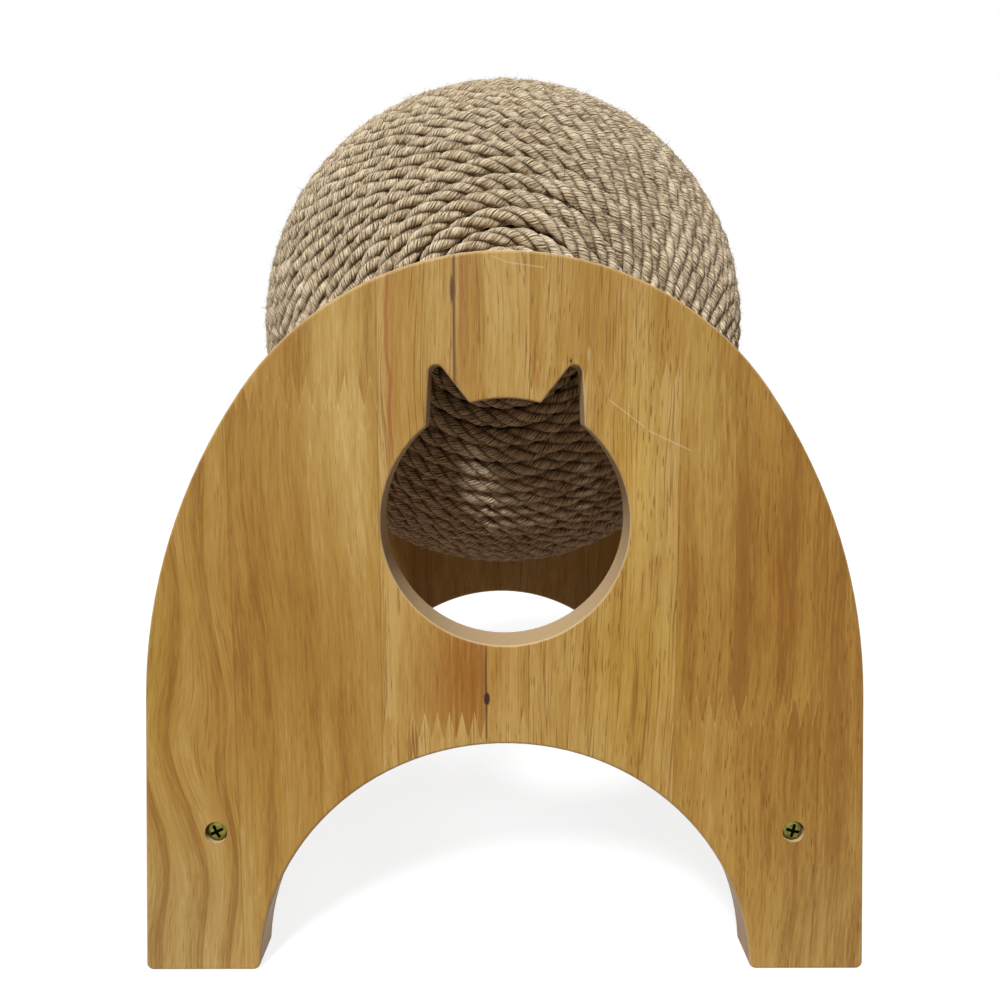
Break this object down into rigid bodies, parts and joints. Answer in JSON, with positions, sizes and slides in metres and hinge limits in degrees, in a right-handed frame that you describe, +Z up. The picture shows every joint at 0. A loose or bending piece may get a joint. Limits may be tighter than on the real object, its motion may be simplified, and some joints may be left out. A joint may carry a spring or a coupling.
{
  "type": "cat scratcher",
  "caption": "Rope-wound scratching ball that spins on an axle between arched wooden side panels with cat-head windows.",
  "frame": {"origin": "on the floor, at the middle of the footprint", "axes": "+X to the right seen from the front, +Y along the axle from the front panel to the rear one, +Z up"},
  "size_m": [0.2528, 0.257, 0.3359],
  "materials": {
    "panel_wood": "satin lacquer",
    "bar_wood": "satin lacquer",
    "screw_zinc": "yellow zinc",
    "axle_steel": "ground",
    "nylon": "natural",
    "core_plastic": "moulded",
    "rope": "hairy natural fibre"
  },
  "bodies": {
    "stand": {"front_panel": "panel_wood", "rear_panel": "panel_wood", "left_stretcher": "bar_wood", "right_stretcher": "bar_wood", "front_left_screw": "screw_zinc", "front_right_screw": "screw_zinc", "rear_left_screw": "screw_zinc", "rear_right_screw": "screw_zinc", "axle": "axle_steel", "front_spacer": "nylon", "rear_spacer": "nylon"},
    "ball": {"front_core": "core_plastic", "rear_core": "core_plastic", "front_bush": "nylon", "rear_bush": "nylon", "front_rope_winding": "rope", "rear_rope_winding": "rope"}
  },
  "joints": [
    {"name": "ball_spin", "type": "hinge", "parent": "stand", "child": "ball", "pos_m": [0, 0, 0.23], "axis": [0, 1, 0], "continuous": true}
  ]
}
